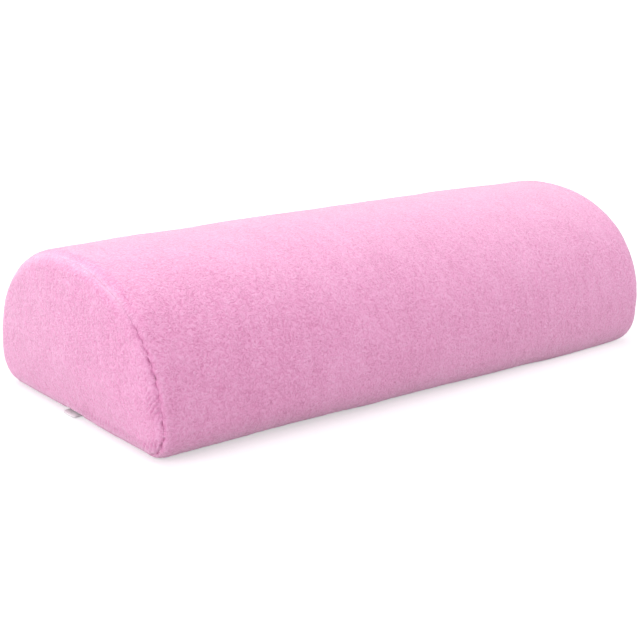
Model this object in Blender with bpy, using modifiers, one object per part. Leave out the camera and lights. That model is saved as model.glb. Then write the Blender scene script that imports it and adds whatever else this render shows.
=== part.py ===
"""Half-column manicure hand rest: a foam block in a sewn terry cover that a zip closes underneath.

Metres, +Z up. X runs along the cushion, -Y is the front, and the origin is the middle of the base.
The cloth is described by spots of the D section, each with its outward normal and its depth below the
outer face, and by rounds that carry those spots along the cushion and over its rounded ends.
"""

import math

import bmesh
import bpy
from mathutils import Matrix, Vector

MM = 0.001

# The covered cushion
BASE_LENGTH = 288 * MM
END_LEAN = 5.5 * MM        # how far each end stands out further at the top than at the base
DEPTH = 130 * MM
HEIGHT = 70 * MM
CORNER = 14 * MM           # radius of the two long lower edges
ARCH_POWER = 2.12          # 2 would be an ellipse
END_ROUND = 7.5 * MM       # radius from the sides over to the ends
END_DOME = 1.5 * MM
WAIST = 2.1 * MM           # each side draws in by this towards the ends
CROWN = 1.1 * MM           # the top falls by this towards the ends

# Cloth and sewing
CLOTH = 2.4 * MM
FOLD_GAP = 0.6 * MM
HEM_WIDTH = 10 * MM
ALLOWANCE = 6 * MM
SEAM_ANGLE = math.radians(45)   # where the end seams lie on the rounding, 90 degrees being the sides
SEAM_GAP = math.radians(4)
SHORT_BEND = math.radians(3)    # the first bend after a cut edge, short so that the edge stands square
END_MIDDLE = 0.45               # the share of the height that the ends are domed about
CLEAR = 0.3 * MM
PAST = 1 * MM                   # cutters reach this far past what they cut

# Zip
ZIP_Y = 6 * MM             # the zip lies a little behind the middle
ZIP_MARGIN = 17 * MM       # from each end of the base to the coil
SLIT = 11 * MM
TAPE_WIDTH = 12 * MM
TAPE_THICK = 0.5 * MM
TAPE_EDGE = 0.75 * MM      # from the zip's middle line to the tape's inner edge
COIL_PITCH = 1.5 * MM
COIL_BAR = 0.55 * MM
COIL_TAPER = 0.1 * MM      # each bar is thinner at its root by this on both sides
COIL_TALL = 1.6 * MM
COIL_REACH = 0.35 * MM     # how far each bar passes the middle line
COIL_HALF = 2.2 * MM
COIL_SPINE = 0.7 * MM
STOP_LENGTH = 2.4 * MM
STOP_WALL = 0.35 * MM
STOP_REACH = 1.5 * MM      # how far a stop grips over the tape
STOP_JAW = 0.9 * MM
TAPE_RUN_OUT = 5 * MM      # over this, past the stops, the tapes come together again

# Slider and pull
SLIDER_LENGTH = 9.5 * MM
PLATE = 1.0 * MM
INNER_PLATE = 0.9 * MM
FLANGE = 0.65 * MM
POST_HALF = 0.5 * MM
POST_LENGTH = 2.2 * MM
POST_BACK = 1.0 * MM       # from the slider's nose to the post
MOUTH = 3.6 * MM           # length of the slider's wide front part
NOSE_ROUND = 2.0 * MM
TAIL_STRAIGHT = 1.2 * MM   # length of its narrow rear end
TAIL_CHAMFER = 0.3 * MM
INNER_INSET = 0.35 * MM    # the inner plate is smaller all round by this
BRIDGE_GAP = 1.3 * MM
BRIDGE_THICK = 0.7 * MM
BRIDGE_HALF_WIDTH = 1.0 * MM
BRIDGE_OPEN = 2.4 * MM
BRIDGE_LEG = 0.8 * MM
BRIDGE_CHAMFER = 0.4 * MM
BRIDGE_ROOT = 0.3 * MM     # how far its feet are sunk into the plate
PULL_THICK = 0.8 * MM
PULL_LENGTH = 20.3 * MM    # from the pivot to the tip
PULL_HALF_WIDTH = 4.3 * MM
PULL_SWELL_END = 13 * MM   # from the pivot to where the tab is full width
TIP_ROUND_LONG = 1.6 * MM
TIP_ROUND_WIDE = 1.7 * MM
EYE_LENGTH = 4.5 * MM      # from the pivot to where the tab begins to widen
EYE_CHAMFER = 0.4 * MM
EYE_HALF_WIDTH = 2.35 * MM
EYE_SLOT_HALF = 1.45 * MM
EYE_SLOT_LENGTH = 2.9 * MM
PULL_DROOP = math.radians(3.5)

# Where things lie, worked out from the sizes above
HEM_TALL = 2 * CLOTH + FOLD_GAP
HEM_ROUND = HEM_TALL / 2
TAPE_BOTTOM = HEM_TALL + CLEAR
TAPE_TOP = TAPE_BOTTOM + TAPE_THICK
COIL_TOP = TAPE_BOTTOM - CLEAR
COIL_BOTTOM = COIL_TOP - COIL_TALL
PLATE_TOP = COIL_BOTTOM - CLEAR
PLATE_BOTTOM = PLATE_TOP - PLATE
INNER_BOTTOM = TAPE_TOP + CLEAR
INNER_TOP = INNER_BOTTOM + INNER_PLATE
HALF_BASE = BASE_LENGTH / 2
ZIP_LENGTH = BASE_LENGTH - 2 * ZIP_MARGIN
ZIP_START = -ZIP_LENGTH / 2
NOSE_X = ZIP_START + CLEAR
TAIL_X = NOSE_X + SLIDER_LENGTH
TAPER_START = NOSE_X + MOUTH
TAPER_END = TAIL_X - TAIL_STRAIGHT
STOPS_FROM = NOSE_X - CLEAR - STOP_LENGTH
OPEN_FROM = STOPS_FROM - TAPE_RUN_OUT
PIVOT = Vector(((NOSE_X + TAIL_X) / 2, ZIP_Y, PLATE_BOTTOM - BRIDGE_GAP / 2))
SPREAD = COIL_REACH + POST_HALF + 0.5 * CLEAR
FOAM_DEPTH = CLOTH + CLEAR
FOAM_SHOULDER = 2 * CLOTH + 2 * CLEAR + 0.1 * MM
FOAM_STEP = 2 * MM         # length of the foam's slope down to its shoulder
FOAM_EDGE_SHARE = 0.97     # the foam's end face is this much smaller where its edge is eased
HEM_ROOM = SLIT / 2 + HEM_ROUND + HEM_WIDTH + 2 * CLEAR

ARCH_STEPS = 26
CORNER_STEPS = 5
BASE_STEPS = 4
FOLD_STEPS = 6
BODY_STEPS = 6
FOAM_STEPS = 4
PLATE_STEPS = 4
SPINE_STEPS = 84
DOME_RINGS = (0.8, 0.5, 0.2)


def clear_scene():
    for obj in list(bpy.data.objects):
        bpy.data.objects.remove(obj, do_unlink=True)


def new_collection(name):
    collection = bpy.data.collections.new(name)
    bpy.context.scene.collection.children.link(collection)
    return collection


def material(name, colour, roughness, metallic=0.0):
    made = bpy.data.materials.new(name)
    made.use_nodes = True
    shader = made.node_tree.nodes["Principled BSDF"]
    shader.inputs["Base Color"].default_value = (*colour, 1.0)
    shader.inputs["Roughness"].default_value = roughness
    shader.inputs["Metallic"].default_value = metallic
    made.diffuse_color = (*colour, 1.0)
    return made


# The D section, as spots (y, z, normal y, normal z, depth)


def corner_spots(side, first, last):
    """Quarter round between base and arch. side is 1 at the rear and -1 at the front."""
    centre = DEPTH / 2 - CORNER
    spots = []
    for i in range(CORNER_STEPS):
        angle = math.radians(first + (last - first) * i / CORNER_STEPS)
        ny, nz = side * math.cos(angle), math.sin(angle)
        spots.append((side * centre + CORNER * ny, CORNER + CORNER * nz, ny, nz, 0.0))
    return spots


def arch_spots():
    """The arched top, from the rear side over to the front side."""
    half, rise = DEPTH / 2, HEIGHT - CORNER
    spots = []
    for i in range(ARCH_STEPS + 1):
        angle = math.pi * i / ARCH_STEPS
        c, s = math.cos(angle), math.sin(angle)
        y = half * math.copysign(abs(c) ** (2 / ARCH_POWER), c)
        z = rise * abs(s) ** (2 / ARCH_POWER)
        slope = Vector((math.copysign(abs(y / half) ** (ARCH_POWER - 1), y) / half,
                        (z / rise) ** (ARCH_POWER - 1) / rise))
        slope.normalize()
        spots.append((y, CORNER + z, slope.x, slope.y, 0.0))
    return spots


def upper_spots():
    """Rear corner, arch and front corner, from one end of the flat base to the other."""
    rear = corner_spots(1, -90, 0)
    front = [(-y, z, -ny, nz, d) for y, z, ny, nz, d in reversed(rear)]
    return rear + arch_spots() + front


def base_spots(start, end):
    """Spots on the flat base between two y values, ends left out."""
    return [(start + (end - start) * i / BASE_STEPS, 0.0, 0.0, -1.0, 0.0) for i in range(1, BASE_STEPS)]


def closed_spots():
    """The whole D, for what closes all round."""
    upper = upper_spots()
    return upper + base_spots(upper[-1][0], upper[0][0])


def hem_spots(side):
    """One folded edge of the cover beside the zip, from its raw end down to the base."""
    edge = ZIP_Y + side * SLIT / 2
    middle = edge + side * HEM_ROUND
    spots = [(middle + side * HEM_WIDTH, HEM_TALL, 0.0, -1.0, HEM_TALL)]
    for i in range(FOLD_STEPS + 1):
        angle = math.pi / 2 - math.pi * i / FOLD_STEPS
        z = HEM_ROUND + HEM_ROUND * math.sin(angle)
        spots.append((middle - side * HEM_ROUND * math.cos(angle), z, 0.0, -1.0, z))
    return spots


def soften(x, y, z):
    """The cushion draws in a little at its sides and top towards its ends."""
    share = (x / HALF_BASE) ** 2
    y_share = y / (DEPTH / 2)
    return Vector((x, y - WAIST * share * y_share * abs(y_share), z - CROWN * share * (z / HEIGHT) ** 2))


def round_start(z):
    """Where the rounding towards an end begins at this height."""
    return HALF_BASE + END_LEAN * z / HEIGHT - END_ROUND


def place(spot, end, angle=math.pi / 2, depth=0.0, back=0.0):
    """A spot turned over the rounding of one end. angle is 90 degrees on the sides and 0 on the end."""
    y, z, ny, nz, own = spot
    radius = END_ROUND - own - depth
    drop = depth + radius * (1 - math.sin(angle))
    x = round_start(z) + radius * math.cos(angle) - back
    return soften(end * x, y - ny * drop, z - nz * drop)


def bend_angles(steps):
    """From the body's sewn edge, over one short step, round to the side."""
    first = SEAM_ANGLE + SEAM_GAP / 2
    rest = [first + (math.pi / 2 - first) * (i + 1) / steps for i in range(steps)]
    return [first, first + SHORT_BEND] + rest


def along(spot, share, depth=0.0):
    """A spot carried along the cushion: share is -1 and 1 where the roundings begin."""
    y, z, ny, nz, _ = spot
    return soften(share * round_start(z), y - ny * depth, z - nz * depth)


def end_face(spot, end, depth, shrink, dome=END_DOME):
    """A spot of the end's outline, drawn in towards the middle of the end and domed."""
    y, z, ny, nz, _ = spot
    y, z = y - ny * END_ROUND, z - nz * END_ROUND
    middle = HEIGHT * END_MIDDLE
    y, z = y * shrink, middle + (z - middle) * shrink
    x = HALF_BASE + END_LEAN * z / HEIGHT - depth + dome * (1 - shrink * shrink)
    return soften(end * x, y, z)


def extrude_through(name, rings, closed, cap=False):
    """A mesh made by extruding the first ring of points through the others."""
    bm = bmesh.new()
    verts = [bm.verts.new(p) for p in rings[0]]
    count = len(verts)
    spans = count if closed else count - 1
    edges = [bm.edges.new((verts[i], verts[(i + 1) % count])) for i in range(spans)]
    first = list(edges)
    for ring in rings[1:]:
        made = bmesh.ops.extrude_edge_only(bm, edges=edges)["geom"]
        known = set(verts)
        after = {}
        for vert in made:
            if isinstance(vert, bmesh.types.BMVert):
                before = next(e.other_vert(vert) for e in vert.link_edges if e.other_vert(vert) in known)
                after[before] = vert
        verts = [after[vert] for vert in verts]
        for vert, point in zip(verts, ring):
            vert.co = point
        edges = [bm.edges.get((verts[i], verts[(i + 1) % count])) for i in range(spans)]
    if cap:
        bmesh.ops.contextual_create(bm, geom=edges)
        if cap == "both":
            bmesh.ops.contextual_create(bm, geom=first)
    bmesh.ops.recalc_face_normals(bm, faces=bm.faces)
    mesh = bpy.data.meshes.new(name)
    bm.to_mesh(mesh)
    bm.free()
    return mesh


def add_object(name, data, collection, finish, parent=None):
    obj = bpy.data.objects.new(name, data)
    collection.objects.link(obj)
    if finish:
        data.materials.append(finish)
    obj.parent = parent
    return obj


def thicken(obj, thickness, spot, outward):
    """Solidify a sheet away from its outer side. outward is the way that side faces at the spot."""
    mesh = obj.data
    face = min(mesh.polygons, key=lambda p: (p.center - Vector(spot)).length)
    if face.normal.dot(Vector(outward)) < 0:
        mesh.flip_normals()
    shell = obj.modifiers.new("Thickness", "SOLIDIFY")
    shell.thickness = thickness
    shell.offset = -1
    shell.use_even_offset = True
    shell.use_quality_normals = True
    return shell


def smooth(mesh, degrees=40):
    mesh.shade_smooth()
    mesh.set_sharp_from_angle(angle=math.radians(degrees))


def cut(obj, cutter, operation="DIFFERENCE"):
    made = obj.modifiers.new(cutter.name, "BOOLEAN")
    made.operation = operation
    made.object = cutter
    made.solver = "EXACT"
    cutter.hide_render = True
    cutter.display_type = "WIRE"
    return made


def box(name, low, high, collection):
    bm = bmesh.new()
    bmesh.ops.create_cube(bm, size=1.0)
    low, high = Vector(low), Vector(high)
    size = high - low
    bmesh.ops.scale(bm, vec=size, verts=bm.verts)
    bmesh.ops.translate(bm, vec=(low + high) / 2, verts=bm.verts)
    mesh = bpy.data.meshes.new(name)
    bm.to_mesh(mesh)
    bm.free()
    return add_object(name, mesh, collection, None)


def slab(name, outlines, bottom, top, collection):
    """A flat outline given thickness, with holes as further outlines."""
    curve = bpy.data.curves.new(name, "CURVE")
    curve.dimensions = "2D"
    curve.fill_mode = "BOTH"
    curve.extrude = (top - bottom) / 2
    for outline in outlines:
        spline = curve.splines.new("POLY")
        spline.points.add(len(outline) - 1)
        spline.use_cyclic_u = True
        for point, (x, y) in zip(spline.points, outline):
            point.co = (x, y, 0, 1)
    drawn = bpy.data.objects.new(name + "_outline", curve)
    collection.objects.link(drawn)
    bpy.context.view_layer.update()
    mesh = bpy.data.meshes.new_from_object(drawn.evaluated_get(bpy.context.evaluated_depsgraph_get()))
    bpy.data.objects.remove(drawn, do_unlink=True)
    bm = bmesh.new()
    bm.from_mesh(mesh)
    bmesh.ops.remove_doubles(bm, verts=bm.verts, dist=0.001 * MM)
    bmesh.ops.translate(bm, vec=(0, 0, (bottom + top) / 2), verts=bm.verts)
    bmesh.ops.recalc_face_normals(bm, faces=bm.faces)
    bm.to_mesh(mesh)
    bm.free()
    mesh.name = name
    return mesh


# The cover


def cover_body(collection, finish, parent):
    """One length of terry round the foam. Its long edges are folded in beside the zip."""
    spots = hem_spots(1) + upper_spots() + list(reversed(hem_spots(-1)))
    bend = bend_angles(3)
    rings = [[place(s, -1, a) for s in spots] for a in bend]
    for i in range(1, BODY_STEPS):
        share = -1 + 2 * i / BODY_STEPS
        rings.append([along(s, share) for s in spots])
    rings += [[place(s, 1, a) for s in spots] for a in reversed(bend)]
    mesh = extrude_through("cover_body", rings, closed=False)
    obj = add_object("cover_body", mesh, collection, finish, parent)
    thicken(obj, CLOTH, (0, 0, HEIGHT), (0, 0, 1))
    smooth(mesh)
    return obj


def end_panel(name, end, collection, finish, parent, notch):
    """The D-shaped end of the cover, with its seam allowance tucked in under the body."""
    spots = closed_spots()
    seam = SEAM_ANGLE - SEAM_GAP / 2
    tuck = CLOTH + CLEAR
    rings = [[place(s, end, depth=tuck, back=ALLOWANCE) for s in spots]]
    rings += [[place(s, end, a, depth=tuck) for s in spots] for a in (math.pi / 2, 1.5 * seam, seam)]
    rings += [[place(s, end, a) for s in spots] for a in (seam, seam / 2, 0.0)]
    rings += [[end_face(s, end, 0.0, share) for s in spots] for share in DOME_RINGS]
    mesh = extrude_through(name, rings, closed=True, cap=True)
    obj = add_object(name, mesh, collection, finish, parent)
    thicken(obj, CLOTH, (end * HALF_BASE, 0, HEIGHT / 2), (end, 0, 0))
    cut(obj, notch)
    smooth(mesh)
    return obj


def allowance_notch(name, end, cutters):
    """Leaves the seam allowance out where the zip and its hems run into the seam."""
    outer = HALF_BASE - END_ROUND + (END_ROUND - CLOTH - CLEAR) * math.cos(SEAM_ANGLE) + CLEAR
    inner = HALF_BASE - END_ROUND - ALLOWANCE - 2 * PAST
    low, high = sorted((end * outer, end * inner))
    return box(name, (low, ZIP_Y - HEM_ROOM, CLOTH), (high, ZIP_Y + HEM_ROOM, 3 * HEM_TALL), cutters)


# The foam


def foam_core(collection, finish, parent, cutters):
    """The half-column sponge. Its edges give way to the seam allowances and its base to the zip."""
    spots = closed_spots()
    shoulder = ALLOWANCE + CLEAR

    def tail(end):
        return [
            [place(s, end, depth=FOAM_DEPTH, back=shoulder + FOAM_STEP) for s in spots],
            [place(s, end, depth=FOAM_SHOULDER, back=shoulder) for s in spots],
            [place(s, end, depth=FOAM_SHOULDER) for s in spots],
            [end_face(s, end, FOAM_DEPTH + FOAM_STEP / 2, FOAM_EDGE_SHARE, 0) for s in spots],
        ] + [[end_face(s, end, FOAM_DEPTH, share) for s in spots] for share in DOME_RINGS]

    rings = list(reversed(tail(-1)))
    for i in range(1, FOAM_STEPS):
        rings.append([along(s, -1 + 2 * i / FOAM_STEPS, FOAM_DEPTH) for s in spots])
    rings += tail(1)
    mesh = extrude_through("foam_core", rings, closed=True, cap="both")
    obj = add_object("foam_core", mesh, collection, finish, parent)
    groove = box("hem_groove", (-BASE_LENGTH, ZIP_Y - HEM_ROOM, -HEM_TALL),
                 (BASE_LENGTH, ZIP_Y + HEM_ROOM, TAPE_TOP + 2 * CLEAR), cutters)
    runway_half = COIL_HALF + SPREAD + FLANGE + 3 * CLEAR
    runway = box("slider_groove", (-BASE_LENGTH, ZIP_Y - runway_half, -HEM_TALL),
                 (BASE_LENGTH, ZIP_Y + runway_half, INNER_TOP + CLEAR), cutters)
    cut(obj, groove)
    cut(obj, runway)
    smooth(mesh)
    return obj


# The zip


def opening_at(x):
    """How far each half of the zip stands off its closed line at x."""
    behind = (TAPER_END - x) / (TAPER_END - TAPER_START)
    before = (x - OPEN_FROM) / (STOPS_FROM - OPEN_FROM)
    return SPREAD * min(1.0, max(0.0, min(behind, before)))


def zip_tape(name, side, collection, finish, parent):
    """A woven strip sewn under the hem, its inner edge carrying the coil."""
    inner = (ZIP_Y + side * TAPE_EDGE, TAPE_BOTTOM, 0.0, -1.0, TAPE_BOTTOM)
    outer = (ZIP_Y + side * (TAPE_EDGE + TAPE_WIDTH), TAPE_BOTTOM, 0.0, -1.0, TAPE_BOTTOM)
    ends = bend_angles(1)
    rings = [[place(inner, -1, a), place(outer, -1, a)] for a in ends]
    for x in (OPEN_FROM, STOPS_FROM, TAPER_START, TAPER_END, 0.0, -OPEN_FROM):
        near = Vector((x, inner[0] + side * opening_at(x), inner[1]))
        rings.append([near, Vector((x, outer[0], outer[1]))])
    rings += [[place(inner, 1, a), place(outer, 1, a)] for a in reversed(ends)]
    mesh = extrude_through(name, rings, closed=False)
    obj = add_object(name, mesh, collection, finish, parent)
    thicken(obj, TAPE_THICK, (0, ZIP_Y, TAPE_BOTTOM), (0, 0, -1))
    return obj


def zip_coil(name, side, collection, finish, parent):
    """One row of the coil: a bar for each turn, standing out of a spine on the tape's edge.

    The spine is made in short lengths, since one long face would fall into slivers.
    """
    start = NOSE_X + CLEAR + (0.0 if side > 0 else COIL_PITCH / 2)
    root, head = COIL_HALF - COIL_SPINE, -COIL_REACH
    bm = bmesh.new()

    def spot(x, y):
        return bm.verts.new((x, ZIP_Y + side * (y + opening_at(x)), COIL_BOTTOM))

    roots = []
    for i in range(int(ZIP_LENGTH / COIL_PITCH) - 1):
        x = start + i * COIL_PITCH
        near, far = spot(x + COIL_TAPER, root), spot(x + COIL_BAR - COIL_TAPER, root)
        bm.faces.new((near, spot(x, head), spot(x + COIL_BAR, head), far))
        roots += [near, far]
    outer = [spot(roots[0].co.x, COIL_HALF), spot(TAPER_START, COIL_HALF)]
    rest = roots[-1].co.x - TAPER_END
    outer += [spot(TAPER_END + rest * i / SPINE_STEPS, COIL_HALF) for i in range(SPINE_STEPS + 1)]
    inner, edge = roots[:], outer[:]
    while len(inner) + len(edge) > 2:
        along_inner = sum(v.co.x for v in inner[:2]) if len(inner) > 1 else math.inf
        along_edge = sum(v.co.x for v in edge[:2]) if len(edge) > 1 else math.inf
        taken = inner if along_inner < along_edge else edge
        bm.faces.new((edge[0], inner[0], taken[1]))
        taken.pop(0)
    raised = bmesh.ops.extrude_face_region(bm, geom=bm.faces[:], use_keep_orig=True)["geom"]
    raised = [v for v in raised if isinstance(v, bmesh.types.BMVert)]
    bmesh.ops.translate(bm, vec=(0, 0, COIL_TALL), verts=raised)
    bmesh.ops.recalc_face_normals(bm, faces=bm.faces)
    mesh = bpy.data.meshes.new(name)
    bm.to_mesh(mesh)
    bm.free()
    return add_object(name, mesh, collection, finish, parent)


def extruded_section(name, section, x_low, x_high, collection):
    """A y, z outline run along X."""
    mesh = slab(name, [section], x_low, x_high, collection)
    mesh.transform(Matrix(((0, 0, 1, 0), (1, 0, 0, 0), (0, 1, 0, 0), (0, 0, 0, 1))))
    return mesh


def top_stop(name, side, collection, finish, parent):
    """A small staple bent round the tape's edge, which stops the slider at the closed end."""
    slot = TAPE_EDGE + SPREAD - 0.5 * CLEAR
    near, far = slot - STOP_WALL, slot + STOP_REACH
    low, high = TAPE_BOTTOM - 0.5 * CLEAR, TAPE_TOP + 0.5 * CLEAR
    section = [(near, low - STOP_JAW), (far, low - STOP_JAW), (far, low), (slot, low),
               (slot, high), (far, high), (far, high + STOP_JAW), (near, high + STOP_JAW)]
    section = [(ZIP_Y + side * y, z) for y, z in section]
    end = NOSE_X - CLEAR
    mesh = extruded_section(name, section, end - STOP_LENGTH, end, collection)
    return add_object(name, mesh, collection, finish, parent)


def bottom_stop(collection, finish, parent):
    """The staple that holds both tapes together past the last turn of the coil."""
    half, web = COIL_HALF, TAPE_EDGE - 0.5 * CLEAR
    low, high = TAPE_BOTTOM - 0.5 * CLEAR, TAPE_TOP + 0.5 * CLEAR
    right = [(half, low - STOP_JAW), (half, low), (web, low)]
    right += [(web, high), (half, high), (half, high + STOP_JAW)]
    section = right + [(-y, z) for y, z in reversed(right)]
    section = [(ZIP_Y + y, z) for y, z in section]
    start = -ZIP_START
    mesh = extruded_section("zip_bottom_stop", section, start, start + STOP_LENGTH, collection)
    return add_object("zip_bottom_stop", mesh, collection, finish, parent)


def slider_outline(inset=0.0):
    """The slider's plan: a wide rounded nose that narrows to the tail."""
    wide = COIL_HALF + SPREAD + 0.5 * CLEAR + FLANGE - inset
    narrow = wide - SPREAD
    nose, tail = NOSE_X + inset, TAIL_X - inset
    turns = [math.pi / 2 * i / PLATE_STEPS for i in range(1, PLATE_STEPS + 1)]
    half = [(nose + NOSE_ROUND * (1 - math.cos(a)), wide * math.sin(a)) for a in turns]
    half += [(TAPER_START, wide), (TAPER_END, narrow)]
    half += [(tail - TAIL_CHAMFER, narrow), (tail, narrow - TAIL_CHAMFER)]
    return [(x, ZIP_Y - y) for x, y in half] + [(x, ZIP_Y + y) for x, y in reversed(half)]


def coil_channel():
    """The plan of the way the coil takes through the slider, from its mouth to its tail."""
    wide, narrow = COIL_HALF + 0.5 * CLEAR + SPREAD, COIL_HALF + 0.5 * CLEAR
    half = [(NOSE_X - PAST, wide), (TAPER_START, wide), (TAPER_END, narrow), (TAIL_X + PAST, narrow)]
    return [(x, ZIP_Y - y) for x, y in half] + [(x, ZIP_Y + y) for x, y in reversed(half)]


def zip_slider(collection, finish, parent, cutters):
    """Two plates with flanges round the coil, the post that parts its halves, and the pull's bridge."""
    body = slab("zip_slider", [slider_outline()], PLATE_BOTTOM, COIL_TOP, collection)
    obj = add_object("zip_slider", body, collection, finish, parent)
    channel = slab("slider_channel", [coil_channel()], PLATE_TOP, TAPE_TOP, cutters)
    cut(obj, add_object("slider_channel", channel, cutters, None))

    turns = [math.tau * i / (3 * PLATE_STEPS) for i in range(3 * PLATE_STEPS)]
    post_x = NOSE_X + POST_BACK + POST_LENGTH / 2
    points = [(post_x - POST_LENGTH / 2 * math.cos(a), ZIP_Y + POST_HALF * math.sin(a)) for a in turns]
    post = slab("slider_post", [points], PLATE_TOP - 0.5 * PLATE, INNER_BOTTOM + 0.5 * INNER_PLATE, cutters)
    cut(obj, add_object("slider_post", post, cutters, None), "UNION")

    inner = slab("slider_inner_plate", [slider_outline(INNER_INSET)], INNER_BOTTOM, INNER_TOP, cutters)
    cut(obj, add_object("slider_inner_plate", inner, cutters, None), "UNION")

    inside = BRIDGE_OPEN / 2
    outside = inside + BRIDGE_LEG
    under = PLATE_BOTTOM - BRIDGE_GAP
    low, root = under - BRIDGE_THICK, PLATE_BOTTOM + BRIDGE_ROOT
    right = [(outside - BRIDGE_CHAMFER, low), (outside, low + BRIDGE_CHAMFER), (outside, root),
             (inside, root), (inside, under)]
    arch = right + [(-x, z) for x, z in reversed(right)]
    bridge = slab("slider_bridge", [arch], -BRIDGE_HALF_WIDTH, BRIDGE_HALF_WIDTH, cutters)
    bridge.transform(Matrix(((1, 0, 0, PIVOT.x), (0, 0, -1, PIVOT.y), (0, 1, 0, 0), (0, 0, 0, 1))))
    cut(obj, add_object("slider_bridge", bridge, cutters, None), "UNION")
    return obj


def zip_pull(collection, finish, parent):
    """A flat stamped tab, hung by its eye in the slider's bridge and drooping a little towards the end."""
    bar = PULL_THICK / 2
    turns = [math.pi / 2 * i / PLATE_STEPS for i in range(PLATE_STEPS + 1)]
    half = [(-bar, EYE_HALF_WIDTH - EYE_CHAMFER), (-bar + EYE_CHAMFER, EYE_HALF_WIDTH)]
    half += [(EYE_LENGTH + (PULL_SWELL_END - EYE_LENGTH) * a / (math.pi / 2),
              EYE_HALF_WIDTH + (PULL_HALF_WIDTH - EYE_HALF_WIDTH) * math.sin(a)) for a in turns]
    half += [(PULL_LENGTH - TIP_ROUND_LONG * (1 - math.sin(a)),
              PULL_HALF_WIDTH - TIP_ROUND_WIDE * (1 - math.cos(a))) for a in turns]
    outline = [(-x, y) for x, y in half] + [(-x, -y) for x, y in reversed(half)]
    slot = [(-x, y) for x, y in ((bar, EYE_SLOT_HALF), (bar + EYE_SLOT_LENGTH, EYE_SLOT_HALF),
                                 (bar + EYE_SLOT_LENGTH, -EYE_SLOT_HALF), (bar, -EYE_SLOT_HALF))]
    mesh = slab("zip_pull", [outline, slot], -PULL_THICK / 2, PULL_THICK / 2, collection)
    obj = add_object("zip_pull", mesh, collection, finish, parent)
    obj.rotation_euler = (0, -PULL_DROOP, 0)
    return obj


def pivot_empty(name, place_at, collection):
    empty = bpy.data.objects.new(name, None)
    empty.location = place_at
    collection.objects.link(empty)
    return empty


def main():
    clear_scene()
    parts = new_collection("manicure_hand_rest")
    cutters = new_collection("cutters")
    cutters.hide_render = True

    terry = material("pink_terry", (0.83, 0.36, 0.60), 0.95)
    foam = material("sponge_foam", (0.90, 0.88, 0.80), 0.9)
    tape = material("zip_tape_weave", (0.86, 0.84, 0.85), 0.8)
    coil = material("zip_coil_nylon", (0.88, 0.87, 0.88), 0.45)
    lacquer = material("zip_lacquer", (0.86, 0.85, 0.86), 0.35)

    cushion = pivot_empty("cushion", (0, 0, 0), parts)
    foam_core(parts, foam, cushion, cutters)
    cover_body(parts, terry, cushion)
    for name, end in (("end_panel_left", -1), ("end_panel_right", 1)):
        end_panel(name, end, parts, terry, cushion, allowance_notch(name + "_notch", end, cutters))
    for label, side in (("front", -1), ("rear", 1)):
        zip_tape("zip_tape_" + label, side, parts, tape, cushion)
        zip_coil("zip_coil_" + label, side, parts, coil, cushion)
        top_stop("zip_top_stop_" + label, side, parts, lacquer, cushion)
    bottom_stop(parts, lacquer, cushion)
    zip_slider(parts, lacquer, cushion, cutters)
    hinge = pivot_empty("pull_pivot", PIVOT, parts)
    zip_pull(parts, lacquer, hinge)
    bpy.context.view_layer.update()


main()
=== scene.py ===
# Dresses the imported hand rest: terry cover over its foam, end seams, zip and studio.
import math

import bmesh
import bpy
import numpy as np
from mathutils import Matrix, Vector, noise


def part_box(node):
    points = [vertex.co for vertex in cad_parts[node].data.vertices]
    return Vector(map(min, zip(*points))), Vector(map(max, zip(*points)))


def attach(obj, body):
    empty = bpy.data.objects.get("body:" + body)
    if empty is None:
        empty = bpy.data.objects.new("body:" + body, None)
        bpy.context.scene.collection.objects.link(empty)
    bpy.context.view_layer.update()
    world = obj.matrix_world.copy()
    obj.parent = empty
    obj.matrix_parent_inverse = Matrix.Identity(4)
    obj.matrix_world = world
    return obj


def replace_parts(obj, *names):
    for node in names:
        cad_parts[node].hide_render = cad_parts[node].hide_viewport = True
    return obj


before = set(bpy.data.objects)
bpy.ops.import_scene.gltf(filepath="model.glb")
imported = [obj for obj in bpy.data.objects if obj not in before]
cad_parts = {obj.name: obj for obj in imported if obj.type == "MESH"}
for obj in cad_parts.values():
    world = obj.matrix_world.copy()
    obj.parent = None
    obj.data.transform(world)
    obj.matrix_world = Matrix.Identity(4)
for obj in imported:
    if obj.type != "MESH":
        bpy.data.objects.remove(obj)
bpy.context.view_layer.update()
mm = 0.001
weld = 0.002 * mm            # points nearer than this are one
scatter = (12.9898, 4.137)   # turn whole numbers into angles without a pattern

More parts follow.
